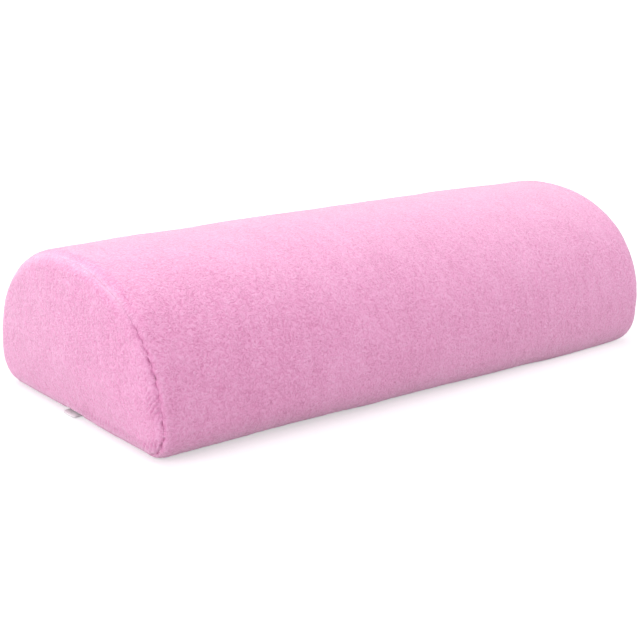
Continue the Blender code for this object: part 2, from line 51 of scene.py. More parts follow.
# The half column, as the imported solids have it, and how the stuffed cloth departs from them
coverLow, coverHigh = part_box("cover_body")
form = {
    "depth": coverHigh.y - coverLow.y,
    "height": coverHigh.z,
    "halfBase": 143.8 * mm,
    "lean": 5.9 * mm,        # each end stands out further at the top
    "endRound": 7.5 * mm,
    "corner": 14 * mm,       # radius of the two long lower edges
    "power": 2.12,           # of the arch, where 2 is an ellipse
    "waist": 2.1 * mm,
    "crown": 1.1 * mm,
    "dome": 1.5 * mm,
    "seam": math.radians(45),
    "cloth": 2.4 * mm,
    "narrow": 0.9905,        # the pull of the cloth from front to rear
    "stand": 1.0118,         # the pile stands up on the top
    "edgeMean": -0.2 * mm,   # the long lower edges rise by this, tilt and bow
    "edgeTilt": -1.8 * mm,
    "edgeBow": -1.2 * mm,
    "edgeHigh": 24 * mm,     # up to this height
    "edgeFrom": (0.5, 0.93),  # and this far out, as shares of half the depth
    "edgeMiddle": 0.33,      # the bow's own mean, taken off so that edgeMean holds
    "endMiddle": 0.45,       # height of the ends' middle, as a share of the whole
    "endReach": 45 * mm,     # from the ends' rounding to their middle
    "lowest": 0.05 * mm,     # the cloth stays this much above the ground
    "lumps": 0.40 * mm,
    "lumpSize": 42 * mm,
    "ripples": 0.22 * mm,
    "rippleSize": 15 * mm,
    "clumps": 0.11 * mm,
    "clumpSize": 2.4 * mm,
    "grit": 0.7,             # the finest lumps, as shares of the clumps' height and size
    "gritSize": 0.45,
}
hem = {
    "y": 6 * mm,             # of the zip's middle
    "slit": 11 * mm,
    "round": 2.7 * mm,
    "width": 10 * mm,
    "flat": 9 * mm,          # finer rows of cloth from here to the fold
    "stitchLine": 4.4 * mm,  # from the fold to the row of stitches
    "channel": 0.75 * mm,    # depth and width of the channel that the stitches draw
    "channelWidth": 0.9 * mm,
    # painted shade in the channel
    "channelPaintedShade": 0.25,
    "channelCalm": 0.6,      # how much less lumpy the cloth is in it
    "baseUpTo": 0.5 * mm,    # cloth below this height is the base
    "fade": 1.5 * mm,        # the relief ends this far round the fold
}
stitchRow = hem["slit"] / 2 + hem["round"] + hem["stitchLine"]


def smoothStep(low, high, x):
    t = np.clip((x - low) / (high - low), 0.0, 1.0)
    return t * t * (3 - 2 * t)


def noiseAt(points, size, seed=0.0):
    # Smooth noise from -1 to 1, one value for each point
    scaled = points.reshape(-1, 3) / size + seed
    found = np.fromiter((noise.noise(Vector(p)) for p in scaled), float, len(scaled))
    return found.reshape(points.shape[:-1])


print("stage: section of the half column")


def sectionOutline(cornerSteps=24, archSteps=240):
    # y, z and outward normal along the D, from the rear lower corner over the top
    half, rise, r = form["depth"] / 2, form["height"] - form["corner"], form["corner"]
    spots = []
    for i in range(cornerSteps):
        a = math.radians(-90 + 90 * i / cornerSteps)
        spots.append((half - r + r * math.cos(a), r + r * math.sin(a), math.cos(a), math.sin(a)))
    for i in range(archSteps + 1):
        a = math.pi * i / archSteps
        c, s = math.cos(a), max(0.0, math.sin(a))
        y = half * math.copysign(abs(c) ** (2 / form["power"]), c)
        z = rise * s ** (2 / form["power"])
        n = Vector((math.copysign(abs(y / half) ** (form["power"] - 1), y) / half,
                    (z / rise) ** (form["power"] - 1) / rise))
        n.normalize()
        spots.append((y, r + z, n.x, n.y))
    front = [(-y, z, -ny, nz) for y, z, ny, nz in reversed(spots[:cornerSteps])]
    return np.array(spots + front)


def lengthsAlong(line):
    return np.r_[0, np.cumsum(np.hypot(*np.diff(line[:, :2], axis=0).T))]


def resample(line, shares):
    # The line at the given shares of its length
    run = lengthsAlong(line)
    found = np.stack([np.interp(shares * run[-1], run, column) for column in line.T], 1)
    found[:, 2:4] /= np.linalg.norm(found[:, 2:4], axis=1)[:, None]
    return found, shares * run[-1]


def settle(p):
    # The stuffed cover's own softness: waist, crown and long lower edges
    along = p[..., 0] / form["halfBase"]
    share = along ** 2
    across = p[..., 1] / (form["depth"] / 2)
    high = p[..., 2] / form["height"]
    out = p.copy()
    out[..., 1] -= form["waist"] * share * across * np.abs(across)
    out[..., 1] *= form["narrow"]
    out[..., 2] -= form["crown"] * share * high ** 2
    out[..., 2] *= form["stand"]
    low = 1 - smoothStep(0.0, form["edgeHigh"], p[..., 2])
    low *= smoothStep(*form["edgeFrom"], np.abs(across))
    lift = form["edgeMean"] + form["edgeTilt"] * along
    lift += form["edgeBow"] * (share - form["edgeMiddle"])
    out[..., 2] += lift * np.clip(1 - share ** 4, 0, 1) * low
    return out


def roundStart(z, nz):
    # Where the straight run ends, so that the rounding meets the leaning end without a crease
    slope, radius = form["lean"] / form["height"], form["endRound"]
    return form["halfBase"] + slope * (z - nz * radius) - radius * math.hypot(1, slope)


def endPlace(spots, end, angle, inward=0.0):
    # Spots carried over the rounding: angle is 90 degrees on the sides and 0 on the end
    y, z, ny, nz = spots.T[:4]
    radius = form["endRound"] - inward
    drop = radius * (1 - np.sin(angle))
    x = roundStart(z, nz) + radius * np.cos(angle)
    return np.stack([end * x, y - ny * drop, z - nz * drop], -1)


def leanAngle(nz):
    # The angle at which the rounding meets the leaning end
    return -math.atan(form["lean"] / form["height"]) * nz


def endFace(spots, end, share):
    # Spots on the slightly domed end: share is 1 where the rounding ends and 0 in the middle
    y, z, ny, nz = spots.T[:4]
    inset = form["endRound"] * (1 - np.sin(leanAngle(nz)))
    middle = form["height"] * form["endMiddle"]
    py, pz = (y - ny * inset) * share, middle + (z - nz * inset - middle) * share
    lean = form["lean"] * pz / form["height"]
    x = form["halfBase"] + lean + form["dome"] * (1 - share * share) ** 2
    return np.stack([end * x, py, pz], -1)


def gridNormals(grid, closed=False):
    along = np.gradient(grid, axis=0)
    if closed:
        wide = np.concatenate([grid[:, -1:], grid, grid[:, :1]], 1)
        across = (wide[:, 2:] - wide[:, :-2]) / 2
    else:
        across = np.gradient(grid, axis=1)
    n = np.cross(along, across)
    return n / np.maximum(np.linalg.norm(n, axis=-1, keepdims=True), 1e-12)


def gridFaces(rows, cols, closed):
    spans = cols if closed else cols - 1
    return [(r * cols + c, r * cols + (c + 1) % cols,
             (r + 1) * cols + (c + 1) % cols, (r + 1) * cols + c)
            for r in range(rows - 1) for c in range(spans)]


def smoothBelow(mesh, degrees):
    # Smooth shading, but sharp edges where faces meet at more than this
    mesh.shade_smooth()
    mesh.set_sharp_from_angle(angle=math.radians(degrees))


def faceOutward(mesh):
    work = bmesh.new()
    work.from_mesh(mesh)
    bmesh.ops.recalc_face_normals(work, faces=work.faces)
    work.to_mesh(mesh)
    work.free()


def shellMesh(name, outer, normals, closed=False, step=6):
    # Cloth with a thickness: the fine outer grid, a coarse inner one and the rim between them
    rows, cols = outer.shape[:2]
    inner = outer - normals * form["cloth"]
    verts = outer.reshape(-1, 3).tolist()
    spans = cols if closed else cols - 1
    faces = gridFaces(rows, cols, closed)
    numbers = {}

    def inside(r, c):
        key = (r, c % cols)
        if key not in numbers:
            numbers[key] = len(verts)
            verts.append(inner[key].tolist())
        return numbers[key]

    stepRows = sorted({*range(0, rows, step), rows - 1})
    stepCols = sorted({*range(0, cols, step), spans})
    for r0, r1 in zip(stepRows, stepRows[1:]):
        for c0, c1 in zip(stepCols, stepCols[1:]):
            firstCol, lastCol = c0 == 0 and not closed, c1 == cols - 1 and not closed
            lastRow = r1 == rows - 1 and not closed
            ring = [(r0, c) for c in (range(c0, c1 + 1) if r0 == 0 else (c0, c1))]
            ring += [(r, c1) for r in (range(r0, r1 + 1) if lastCol else (r0, r1))][1:]
            ring += [(r1, c) for c in (range(c1, c0 - 1, -1) if lastRow else (c1, c0))][1:]
            ring += [(r, c0) for r in (range(r1, r0 - 1, -1) if firstCol else (r1, r0))][1:-1]
            faces.append(tuple(inside(r, c) for r, c in reversed(ring)))
    last = (rows - 1) * cols
    for c in range(spans):
        d = (c + 1) % cols
        faces.append((d, c, inside(0, c), inside(0, d)))
        if not closed:
            faces.append((last + c, last + d, inside(rows - 1, d), inside(rows - 1, c)))
    if closed:
        middle = len(verts)
        verts.append(outer[-1].mean(0).tolist())
        verts.append(inner[-1].mean(0).tolist())
        faces += [(last + c, last + (c + 1) % cols, middle) for c in range(cols)]
        faces += [(inside(rows - 1, c1), inside(rows - 1, c0), middle + 1)
                  for c0, c1 in zip(stepCols, stepCols[1:])]
    else:
        far = cols - 1
        for r in range(rows - 1):
            a, b = r * cols, (r + 1) * cols
            faces.append((a, b, inside(r + 1, 0), inside(r, 0)))
            faces.append((b + far, a + far, inside(r, far), inside(r + 1, far)))
    mesh = bpy.data.meshes.new(name)
    mesh.from_pydata(verts, [], faces)
    mesh.update()
    if mesh.polygons[0].normal.dot(Vector(normals[0, 0])) < 0:
        mesh.flip_normals()
    smoothBelow(mesh, 62)
    return mesh


def pointValues(mesh, name, values):
    layer = mesh.attributes.new(name, "FLOAT", "POINT")
    full = np.zeros(len(mesh.vertices), np.float32)
    full[:values.size] = values.ravel()
    layer.data.foreach_set("value", full)


def addPiece(name, mesh, material, body="cushion"):
    obj = bpy.data.objects.new(name, mesh)
    bpy.context.scene.collection.objects.link(obj)
    mesh.materials.clear()
    mesh.materials.append(material)
    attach(obj, body)
    return obj


print("stage: materials")


def nodeSet(name):
    made = bpy.data.materials.new(name)
    made.use_nodes = True
    tree = made.node_tree
    return made, tree, tree.nodes["Principled BSDF"]


def add(tree, kind, **settings):
    node = tree.nodes.new(kind)
    for key, value in settings.items():
        if key in node.inputs:
            node.inputs[key].default_value = value
        else:
            setattr(node, key, value)
    return node


def calc(tree, operation, *values):
    node = add(tree, "ShaderNodeMath", operation=operation)
    for socket, value in zip(node.inputs, values):
        if isinstance(value, (int, float)):
            socket.default_value = value
        else:
            tree.links.new(value, socket)
    return node.outputs[0]


def noiseNode(tree, where, scale, detail=2.0, stretch=None, shift=0.0):
    node = add(tree, "ShaderNodeTexNoise", Scale=scale, Detail=detail)
    if stretch or shift:
        mapping = add(tree, "ShaderNodeMapping")
        mapping.inputs["Scale"].default_value = stretch or (1, 1, 1)
        mapping.inputs["Location"].default_value = (shift, shift, shift)
        tree.links.new(where, mapping.inputs["Vector"])
        where = mapping.outputs["Vector"]
    tree.links.new(where, node.inputs["Vector"])
    return node


def ramp(tree, source, stops):
    node = tree.nodes.new("ShaderNodeValToRGB")
    tree.links.new(source, node.inputs[0])
    while len(node.color_ramp.elements) < len(stops):
        node.color_ramp.elements.new(0.5)
    for element, (at, colour) in zip(node.color_ramp.elements, stops):
        element.position = at
        element.color = (*colour, 1)
    return node.outputs[0]


def mixColour(tree, share, first, second):
    node = add(tree, "ShaderNodeMix", data_type="RGBA")
    tree.links.new(share, node.inputs["Factor"])
    tree.links.new(first, node.inputs["A"])
    node.inputs["B"].default_value = (*second, 1)
    return node.outputs["Result"]


def relief(tree, shader, height, strength, distance):
    bump = add(tree, "ShaderNodeBump", Strength=strength, Distance=distance)
    tree.links.new(height, bump.inputs["Height"])
    tree.links.new(bump.outputs["Normal"], shader.inputs["Normal"])


terry = {
    # valley and tip are painted shade and painted light at the scale of the pile, loop is the
    # cloth's own colour
    "valley": (0.71, 0.220, 0.445),
    "loop": (0.875, 0.337, 0.606),
    "tip": (0.965, 0.475, 0.74),
    "paintedSeamShade": (0.52, 0.11, 0.31),   # painted shade down in the seams
    "paintedHighlightColour": (0.97, 0.60, 0.82),   # painted highlight on the seam's ridge and lips
    "curl": 400.0,                # scale of the noise that the loops' curls follow
    "turns": 5.0,                 # the higher, the closer the curls
    "wander": 2.4 * mm,           # how far they lie out of line
    "smaller": 1.6,               # a second layer of curls is so much finer
    "fuzz": 900.0,                # scale of the ends of the fibres
    "patch": 55.0,                # scale of the patches that are paler or deeper
    "loopTone": 0.46,             # how strongly each layer tints the cloth
    "fuzzTone": 0.78,
    "ribTone": 0.32,
    "patchTone": 0.28,
    "bump": 0.5,
    "pile": 0.5 * mm,
    "sheen": 0.78,
    "sheenRoughness": 0.55,
    "sheenTint": (1.0, 0.93, 0.98, 1),
}


def terryMaterial(name, ribs):
    # Curled loops over a ground of faint ribs: ribs is how its noise is stretched
    made, tree, shader = nodeSet(name)
    where = add(tree, "ShaderNodeTexCoord").outputs["Object"]
    wander = noiseNode(tree, where, terry["curl"] * 0.55, 1.0)
    centred = add(tree, "ShaderNodeVectorMath", operation="SUBTRACT")
    tree.links.new(wander.outputs["Color"], centred.inputs[0])
    centred.inputs[1].default_value = (0.5, 0.5, 0.5)
    moved = add(tree, "ShaderNodeVectorMath", operation="MULTIPLY_ADD")
    tree.links.new(centred.outputs[0], moved.inputs[0])
    moved.inputs[1].default_value = (terry["wander"],) * 3
    tree.links.new(where, moved.inputs[2])

    def curls(scale, shift):
        found = noiseNode(tree, moved.outputs[0], scale, 1.0, shift=shift).outputs["Fac"]
        wave = calc(tree, "SINE", calc(tree, "MULTIPLY", found, math.tau * terry["turns"]))
        return calc(tree, "MULTIPLY_ADD", wave, 0.5, 0.5)

    fuzz = noiseNode(tree, where, terry["fuzz"], 2.0).outputs["Fac"]
    coarse = calc(tree, "MULTIPLY", curls(terry["curl"], 0.0), 0.6)
    loops = calc(tree, "MULTIPLY_ADD", curls(terry["curl"] * terry["smaller"], 0.37), 0.4, coarse)
    lines = noiseNode(tree, where, 1.0, 2.0, stretch=ribs).outputs["Fac"]
    patches = noiseNode(tree, where, terry["patch"], 3.0).outputs["Fac"]
    height = calc(tree, "MULTIPLY_ADD", fuzz, 0.9, calc(tree, "MULTIPLY", loops, 0.7))
    # The tone follows the same loops and fuzz that raise the relief, so valleys get painted shade
    # and tips painted light; ribs and patches vary the cloth's own tone
    tone = 0.5
    layers = ((loops, "loopTone"), (fuzz, "fuzzTone"), (lines, "ribTone"), (patches, "patchTone"))
    for source, share in layers:
        tone = calc(tree, "MULTIPLY_ADD", calc(tree, "SUBTRACT", source, 0.5), terry[share], tone)
    colour = ramp(tree, tone, [(0.15, terry["valley"]), (0.5, terry["loop"]), (0.9, terry["tip"])])
    pinch = add(tree, "ShaderNodeAttribute", attribute_name="pinch").outputs["Fac"]
    paintedHighlight = add(tree, "ShaderNodeAttribute", attribute_name="paintedHighlight").outputs["Fac"]
    # painted highlight on the seams' ridges and lips
    colour = mixColour(tree, paintedHighlight, colour, terry["paintedHighlightColour"])
    # painted shade in the seams' grooves and stitches, the puckers' troughs and the hem channels
    colour = mixColour(tree, pinch, colour, terry["paintedSeamShade"])
    tree.links.new(colour, shader.inputs["Base Color"])
    relief(tree, shader, height, terry["bump"], terry["pile"])
    shader.inputs["Roughness"].default_value = 0.95
    shader.inputs["Specular IOR Level"].default_value = 0.12
    shader.inputs["Sheen Weight"].default_value = terry["sheen"]
    shader.inputs["Sheen Roughness"].default_value = terry["sheenRoughness"]
    shader.inputs["Sheen Tint"].default_value = terry["sheenTint"]
    return made


def grainMaterial(name, light, dark, scale, bumpSize, roughness, bump=0.4):
    made, tree, shader = nodeSet(name)
    where = add(tree, "ShaderNodeTexCoord").outputs["Object"]
    grain = noiseNode(tree, where, scale, 4.0).outputs["Fac"]
    tree.links.new(ramp(tree, grain, [(0.35, dark), (0.65, light)]), shader.inputs["Base Color"])
    relief(tree, shader, grain, bump, bumpSize)
    shader.inputs["Roughness"].default_value = roughness
    return made


weave = {
    "bands": (("Y", 420.0), ("X", 520.0)),  # direction and scale of the two sets of threads
    "wander": 0.6,
    "between": (0.66, 0.62, 0.64),
    "thread": (0.84, 0.82, 0.83),
    "bump": 0.5,
    "depth": 0.1 * mm,
    "roughness": 0.8,
}


def tapeMaterial():
    made, tree, shader = nodeSet("zipTapeWeave")
    where = add(tree, "ShaderNodeTexCoord").outputs["Object"]
    waves = []
    for direction, scale in weave["bands"]:
        wave = add(tree, "ShaderNodeTexWave", bands_direction=direction, Scale=scale,
                   Distortion=weave["wander"])
        tree.links.new(where, wave.inputs["Vector"])
        waves.append(wave.outputs["Fac"])
    woven = calc(tree, "MULTIPLY", *waves)
    colour = ramp(tree, woven, [(0.0, weave["between"]), (0.6, weave["thread"])])
    tree.links.new(colour, shader.inputs["Base Color"])
    relief(tree, shader, woven, weave["bump"], weave["depth"])
    shader.inputs["Roughness"].default_value = weave["roughness"]
    return made


terryBody = terryMaterial("terryBody", (330.0, 60.0, 60.0))
terryEnd = terryMaterial("terryEnd", (60.0, 330.0, 60.0))
zipTape = tapeMaterial()
foamPores = grainMaterial("foamPores", light=(0.90, 0.87, 0.78), dark=(0.72, 0.68, 0.58),
                          scale=700.0, bumpSize=0.5 * mm, roughness=0.95)
coilNylon = grainMaterial("coilNylon", light=(0.88, 0.87, 0.88), dark=(0.78, 0.76, 0.78),
                          scale=900.0, bumpSize=0.02 * mm, roughness=0.4)
whiteLacquer = grainMaterial("whiteLacquer", light=(0.94, 0.92, 0.93), dark=(0.85, 0.83, 0.84),
                             scale=350.0, bumpSize=0.01 * mm, roughness=0.27)
pinkThread = grainMaterial("pinkThread", light=(0.90, 0.46, 0.69), dark=(0.74, 0.30, 0.53),
                           scale=2500.0, bumpSize=0.08 * mm, roughness=0.7)

print("stage: stuffing, by cloth simulation")
stuffing = {
    "pressure": 4.0,
    "frames": 20,
    "cap": 1.0 * mm,         # the cloth moves no further than this
    "share": 0.8,            # of that movement shown
    "held": 3 * mm,          # up to this height the base holds the cloth
    "around": 70,            # cells round the cover, and rows along it
    "along": 57,
    "endRows": (0.12, 0.28, 0.44, 0.6, 0.76, 0.9),
    "bendRows": (0, 22.5, 45, 67.5),
}


def closedOutline(count, baseSteps=90):
    # The D with its base, at even distances, and how far round each point lies
    outline = sectionOutline()
    across = np.linspace(outline[-1, 0], outline[0, 0], baseSteps)[1:]
    base = np.array([(y, 0.0, 0.0, -1.0) for y in across])
    return resample(np.vstack([outline, base]), np.linspace(0, 1, count + 1)[:-1])


def coarseCover():
    # The whole cover as one closed cloth of even cells, and each row's way from the left seam
    spots, run = closedOutline(stuffing["around"])
    start = roundStart(spots[:, 1], spots[:, 3])
    left, away = [], []
    bend = form["endRound"] * form["seam"]
    for share in stuffing["endRows"]:
        left.append(endFace(spots, -1, share))
        away.append(-bend - (1 - share) * form["endReach"])
    for degrees in stuffing["bendRows"]:
        left.append(endPlace(spots, -1, math.radians(degrees)))
        away.append(form["endRound"] * (math.radians(degrees) - form["seam"]))
    right = [row * (-1, 1, 1) for row in reversed(left)]
    span = np.linspace(-1, 1, stuffing["along"])
    body = [np.stack([share * start, spots[:, 0], spots[:, 1]], -1) for share in span]
    begin = form["endRound"] * (math.pi / 2 - form["seam"])
    length = 2 * (form["halfBase"] - form["endRound"])
    along = [begin + (share + 1) / 2 * length for share in span]
    far = [2 * begin + length - a for a in reversed(away)]
    return np.array(left + body + right), np.array(away + along + far), run


def simulate():
    # How far each coarse point swells along its normal, held at both seams and at the base
    rows, away, run = coarseCover()
    count, wide = rows.shape[:2]
    verts = rows.reshape(-1, 3).tolist()
    verts += [rows[0].mean(0).tolist(), rows[-1].mean(0).tolist()]
    faces = gridFaces(count, wide, True)
    tail, last = count * wide, (count - 1) * wide
    faces += [((c + 1) % wide, c, tail) for c in range(wide)]
    faces += [(last + c, last + (c + 1) % wide, tail + 1) for c in range(wide)]
    mesh = bpy.data.meshes.new("stuffedCloth")
    mesh.from_pydata(verts, [], faces)
    faceOutward(mesh)
    cloth = bpy.data.objects.new("stuffedCloth", mesh)
    bpy.context.scene.collection.objects.link(cloth)
    held = cloth.vertex_groups.new(name="held")
    near = 0.1 * mm
    seams = [r for r in range(count)
             if min(abs(away[r]), abs(away[r] - away[0] - away[-1])) < near]
    held.add([r * wide + c for r in seams for c in range(wide)], 1.0, "REPLACE")
    held.add([i for i, v in enumerate(verts) if v[2] < stuffing["held"]], 1.0, "REPLACE")
    made = cloth.modifiers.new("stuffing", "CLOTH")
    made.settings.vertex_group_mass = "held"
    made.settings.use_pressure = True
    made.settings.uniform_pressure_force = stuffing["pressure"]
    made.settings.effector_weights.gravity = 0.0
    made.collision_settings.use_collision = False
    made.point_cache.frame_end = stuffing["frames"]
    before = np.array([v.co for v in mesh.vertices])
    normals = np.array([v.normal for v in mesh.vertices])
    scene = bpy.context.scene
    for number in range(1, stuffing["frames"] + 1):
        scene.frame_set(number)
    shown = cloth.evaluated_get(bpy.context.evaluated_depsgraph_get())
    after = np.array([v.co for v in shown.data.vertices])
    scene.frame_set(1)
    bpy.data.objects.remove(cloth, do_unlink=True)
    bpy.data.meshes.remove(mesh)
    swell = ((after - before) * normals).sum(1)
    swell = stuffing["cap"] * np.tanh(swell / stuffing["cap"])
    return swell[:tail].reshape(count, wide), away, run


swellField, swellAway, swellRun = simulate()
otherSeam = swellAway[0] + swellAway[-1]


def swellAt(away, run, window=5):
    # The simulated swell on a fine grid, smoothed between the coarse points
    wide = np.stack([np.interp(run, swellRun, line) for line in swellField])
    found = np.stack([np.interp(away, swellAway, line) for line in wide.T], 1)
    for axis in (0, 1):
        margin = [(window // 2, window // 2) if i == axis else (0, 0) for i in (0, 1)]
        padded = np.pad(found, margin, mode="edge")
        found = np.apply_along_axis(np.convolve, axis, padded, np.ones(window) / window, "valid")
    return found * stuffing["share"]


print("stage: cover")
seam = {
    "stitch": 5.2 * mm,      # from one stitch to the next
    "groove": 0.22 * mm,     # how far the cloth is drawn in all along
    "pinch": 0.45 * mm,      # and how much further at a stitch
    "width": 0.7 * mm,
    "drawn": ((0.08, 0.25), (0.55, 0.78)),  # shares of a stitch where its pull sets in and ends
    "even": (0.72, 0.55),    # how strong a stitch is, and how much that changes
    "lip": 0.14 * mm,        # how far it swells beside the groove
    "lipAt": 2.2 * mm,
    "lipWidth": 1.4 * mm,
    "ridge": 0.22 * mm,      # over the top the seam stands out instead
    "ridgeWidth": 1.5 * mm,
    "ridgeFrom": (47 * mm, 61 * mm),  # heights between which the groove turns into the ridge
    "ridgeEven": (0.8, 0.35),
    "closed": (24 * mm, 5 * mm),  # height at which the cloth hides the stitches, and its reach
    "hidden": 0.75,          # how much of them
    "paintedShade": (0.06, 0.85),    # painted shade: darkness of the groove and of a stitch
    "paintedHighlight": (0.55, 0.16),    # painted highlight: paleness of the ridge and of the lips
    "gap": math.radians(0.4),
}
pucker = {
    "depth": 0.42 * mm,
    "length": 1.8 * mm,      # from one fold to the next
    "from": (0.3 * mm, 1.4 * mm),  # they rise between these two ways from the seam
    "reach": 6.5 * mm,       # and fade here
    "slant": (-0.85, -0.5),  # direction across the folds, in y and z
    "wobble": 2.5,           # how far they run out of line
    "wobbleSize": 6 * mm,
    # painted shade in the folds' troughs, at most this dark
    "paintedShade": 0.5,
    "heights": ((24 * mm, 5.5 * mm), (8 * mm, 3.0 * mm)),  # of each group, and its reach
}
fineness = {
    "bodyAround": 241,       # points round the section, without its hems
    "bodyMiddle": 232,       # rows along the long cloth
    "bodyEnd": 16,           # and beyond this share of its half
    "endsFrom": 0.93,
    "bodyBend": 13,          # rows round the bend to each end seam
    "panelAround": 540,
    "panelBend": 12,
    "panelRim": 20,          # rows on the end's face, from its bend to this share of its size
    "rimTo": 0.78,
    "panelMiddle": 52,       # and on to this one
    "centreTo": 0.02,
    "hemCoarse": 12,
    "hemFine": 16,
    "hemFold": 8,
    "hemBack": 4,
}


def seamRelief(distance, run, z):
    # Height of the cloth beside the seam, the painted shade where it is pinched, and the painted
    # highlight on its ridge and lips
    number = np.floor(run / seam["stitch"])
    chance = np.sin(number * scatter[0]) * np.cos(number * scatter[1])  # -1 to 1 at each stitch
    low = 1 - smoothStep(*seam["ridgeFrom"], z)
    phase = run / seam["stitch"] - number
    begin, end = seam["drawn"]
    stitch = smoothStep(*begin, phase) * (1 - smoothStep(*end, phase))
    at, reach = seam["closed"]
    strength, change = seam["even"]
    stitch *= np.clip(strength + change * chance, 0, 1) * low
    stitch *= 1 - seam["hidden"] * np.exp(-((z - at) / reach) ** 4)
    near = np.exp(-(distance / seam["width"]) ** 2)
    lip = np.exp(-((distance - seam["lipAt"]) / seam["lipWidth"]) ** 2) * low
    steady, varied = seam["ridgeEven"]
    ridge = np.exp(-(distance / seam["ridgeWidth"]) ** 2) * (1 - low)
    ridge = ridge * (steady + varied * chance)
    height = seam["lip"] * lip + seam["ridge"] * ridge
    height -= (seam["groove"] * low + seam["pinch"] * stitch) * near
    # painted shade in the groove and at each stitch
    pinch = near * (seam["paintedShade"][0] * low + seam["paintedShade"][1] * stitch)
    # painted highlight on the ridge and the lips
    paintedHighlight = np.clip(seam["paintedHighlight"][0] * ridge + seam["paintedHighlight"][1] * lip, 0, 1)
    return height, pinch, paintedHighlight


def puckerRelief(grid, distance):
    # Short slanting folds where the cloth is gathered in near the front lower corner, with painted
    # shade in their troughs
    across = pucker["slant"][0] * grid[..., 1] + pucker["slant"][1] * grid[..., 2]
    wobble = pucker["wobble"] * noiseAt(grid, pucker["wobbleSize"], 4.4)
    wave = np.sin(2 * np.pi * across / pucker["length"] + wobble)
    heights = pucker["heights"]
    window = sum(np.exp(-((grid[..., 2] - at) / width) ** 2) for at, width in heights)
    window *= smoothStep(*pucker["from"], distance)
    window *= np.exp(-(distance / pucker["reach"]) ** 4)
    window *= grid[..., 1] < 0
    return pucker["depth"] * wave * window, np.clip(-wave, 0, 1) * window


def roughen(points, normals, amount=1.0):
    low = noiseAt(points, form["lumpSize"], 3.1) * form["lumps"]
    low += noiseAt(points, form["rippleSize"], 8.3) * form["ripples"]
    fine = noiseAt(points, form["clumpSize"], 11.7) * form["clumps"]
    gritSize = form["clumpSize"] * form["gritSize"]
    fine += noiseAt(points, gritSize, 5.3) * form["clumps"] * form["grit"]
    return points + normals * ((low + fine) * amount)[..., None]


def hemSpots(side, start):
    # From the base towards the zip, round the fold and back over itself
    middle = hem["y"] + side * (hem["slit"] / 2 + hem["round"])
    finer = middle + side * hem["flat"]
    coarse = np.linspace(start, finer, fineness["hemCoarse"])[1:]
    fine = np.linspace(finer, middle, fineness["hemFine"])[1:]
    rows = [(y, 0.0, 0.0, -1.0, 0.0) for y in np.r_[coarse, fine]]
    foldSteps, backSteps = fineness["hemFold"], fineness["hemBack"]
    for i in range(1, foldSteps + 1):
        a = math.pi * i / foldSteps
        z = hem["round"] * (1 - math.cos(a))
        rows.append((middle - side * hem["round"] * math.sin(a), z, 0.0, -1.0, z))
    high = 2 * hem["round"]
    for i in range(1, backSteps + 1):
        rows.append((middle + side * hem["width"] * i / backSteps, high, 0.0, -1.0, high))
    return np.array(rows)


def bodyGrid():
    # The long piece of cloth from one end seam to the other, finer near both
    upper, _ = resample(sectionOutline(), np.linspace(0, 1, fineness["bodyAround"]))
    rear = hemSpots(1, upper[0, 0])[::-1]
    front = hemSpots(-1, upper[-1, 0])
    spots = np.vstack([rear, np.c_[upper, np.zeros(len(upper))], front])
    run = lengthsAlong(spots)
    y, z, ny, nz, own = spots.T
    first = form["seam"] + seam["gap"] / 2
    bend = np.linspace(first, math.pi / 2, fineness["bodyBend"])
    start = roundStart(z, nz)
    rows, distances = [], []
    for a in bend:
        rows.append(endPlace(spots, -1, a, own))
        distances.append(form["endRound"] * (a - first))
    edge, count = fineness["endsFrom"], fineness["bodyEnd"]
    middle = np.linspace(-edge, edge, fineness["bodyMiddle"])[1:-1]
    left, right = np.linspace(-1, -edge, count)[1:], np.linspace(edge, 1, count)[:-1]
    for share in np.r_[left, middle, right]:
        rows.append(np.stack([share * start, y, z], -1))
        beside = (1 - abs(share)) * (form["halfBase"] - form["endRound"])
        distances.append(beside + form["endRound"] * (math.pi / 2 - first))
    for a in bend[::-1]:
        rows.append(endPlace(spots, 1, a, own))
        distances.append(form["endRound"] * (a - first))
    grid = np.array(rows)
    distances = np.array(distances)
    half = len(rows) // 2
    away = np.r_[distances[:half], otherSeam - distances[half:]]
    swell = swellAt(away, run - run[len(rear)]) * (own == 0)
    return grid, distances[:, None] * np.ones(len(run)), np.ones((len(rows), 1)) * run, own, swell


def coverBody():
    grid, distance, run, own, swell = bodyGrid()
    normals = gridNormals(settle(grid))
    if normals[len(grid) // 2, grid.shape[1] // 2, 2] < 0:
        normals = -normals
    shown = 1 - smoothStep(0.0, hem["fade"], own)[None, :] * np.ones_like(distance)
    height, pinch, paintedHighlight = seamRelief(distance, run, grid[..., 2])
    beside = np.abs(np.abs(grid[..., 1] - hem["y"]) - stitchRow)
    onBase = grid[..., 2] < hem["baseUpTo"]
    channel = onBase * np.exp(-(beside / hem["channelWidth"]) ** 2)
    height -= hem["channel"] * channel
    shaped = settle(grid) + normals * (height * shown + swell)[..., None]
    shaped = roughen(shaped, normals, shown * (1 - hem["channelCalm"] * channel))
    shaped[..., 2] = np.maximum(shaped[..., 2], form["lowest"])
    mesh = shellMesh("terry_body", shaped, normals)
    # painted shade in the seam's groove and stitches, and in the hem channels
    pointValues(mesh, "pinch", pinch + hem["channelPaintedShade"] * channel)
    # painted highlight on the seam's ridge and lips
    pointValues(mesh, "paintedHighlight", paintedHighlight)
    obj = addPiece("terry_body", mesh, terryBody)
    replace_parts(obj, "cover_body")


